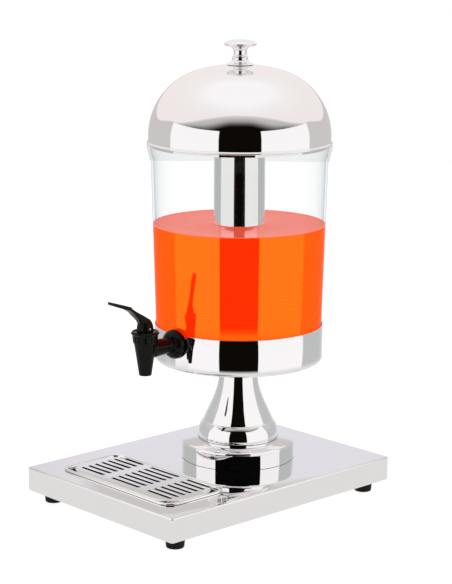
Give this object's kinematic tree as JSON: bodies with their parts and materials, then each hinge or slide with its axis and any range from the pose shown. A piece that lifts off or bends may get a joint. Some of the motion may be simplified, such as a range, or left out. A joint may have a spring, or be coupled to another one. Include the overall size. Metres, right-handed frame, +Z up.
{
  "type": "beverage dispenser",
  "caption": "Clear tapered juice drum with a domed lid, an ice tube and a lever tap, on a bell pedestal over a low steel base with a drip tray.",
  "frame": {"origin": "on the floor under the middle of the base plate, which is also the middle of the whole plan", "axes": "+X to the right as a person faces the tap, -Y to the front, where the tap points, +Z up"},
  "size_m": [0.26, 0.35, 0.543],
  "materials": {
    "mirror_steel": "mirror-polished stainless steel sheet",
    "chrome": "polished and chromed, spun or drawn",
    "fastener_steel": "plain fastener and spring steel",
    "clear_plastic": "clear moulded plastic",
    "black_plastic": "satin-gloss black moulding",
    "black_rubber": "matt black rubber",
    "pale_silicone": "translucent pale silicone"
  },
  "bodies": {
    "stand": {"base_plate": "mirror_steel", "pedestal_foot": "chrome", "pedestal_bell": "chrome", "drum_cup": "chrome", "cup_pad": "black_rubber", "tie_rod": "fastener_steel", "tie_rod_nut": "fastener_steel", "tie_rod_washer_top": "fastener_steel", "tie_rod_washer_bottom": "fastener_steel", "foot_front_left": "black_rubber", "foot_screw_front_left": "fastener_steel", "foot_nut_front_left": "fastener_steel", "foot_front_right": "black_rubber", "foot_screw_front_right": "fastener_steel", "foot_nut_front_right": "fastener_steel", "foot_rear_left": "black_rubber", "foot_screw_rear_left": "fastener_steel", "foot_nut_rear_left": "fastener_steel", "foot_rear_right": "black_rubber", "foot_screw_rear_right": "fastener_steel", "foot_nut_rear_right": "fastener_steel"},
    "tray": {"drip_tray": "mirror_steel"},
    "grille": {"drip_grille": "mirror_steel"},
    "container": {"drum": "clear_plastic", "tap_body": "black_plastic", "tap_gasket": "black_rubber", "tap_washer": "black_rubber", "tap_nut": "black_plastic", "tap_bonnet": "black_plastic"},
    "valve": {"tap_stem": "black_plastic", "seat_cup": "black_rubber", "return_spring": "fastener_steel"},
    "lever": {"tap_lever": "black_plastic", "lever_pin": "fastener_steel"},
    "tube": {"ice_tube": "chrome", "ice_tube_foot": "pale_silicone"},
    "lid": {"lid_dome": "chrome", "lid_ring": "chrome", "lid_knob": "chrome", "knob_collar": "chrome", "knob_screw": "fastener_steel", "knob_washer": "fastener_steel"}
  },
  "joints": [
    {"name": "drum_lift", "type": "slide", "parent": "stand", "child": "container", "axis": [0, 0, 1], "range_m": [0, 0.05]},
    {"name": "lid_lift", "type": "slide", "parent": "container", "child": "lid", "axis": [0, 0, 1], "range_m": [0, 0.12]},
    {"name": "ice_tube_lift", "type": "slide", "parent": "container", "child": "tube", "axis": [0, 0, 1], "range_m": [0, 0.08]},
    {"name": "drip_tray_lift", "type": "slide", "parent": "stand", "child": "tray", "axis": [0, 0, 1], "range_m": [0, 0.05]},
    {"name": "drip_grille_lift", "type": "slide", "parent": "tray", "child": "grille", "axis": [0, 0, 1], "range_m": [0, 0.04]},
    {"name": "tap_stem_lift", "type": "slide", "parent": "container", "child": "valve", "axis": [0, 0, 1], "range_m": [0, 0.0042], "deforming": ["return_spring"]},
    {"name": "tap_lever_tilt", "type": "hinge", "parent": "valve", "child": "lever", "pos_m": [0, -0.1014, 0.222], "axis": [1, 0, 0], "range_deg": [0, 25], "stiffness_Nm_per_rad": 0.005, "springref_deg": -45.84}
  ],
  "couplings": [
    {"joint": "tap_stem_lift", "follows": "tap_lever_tilt", "m_per_rad": 0.0095}
  ]
}
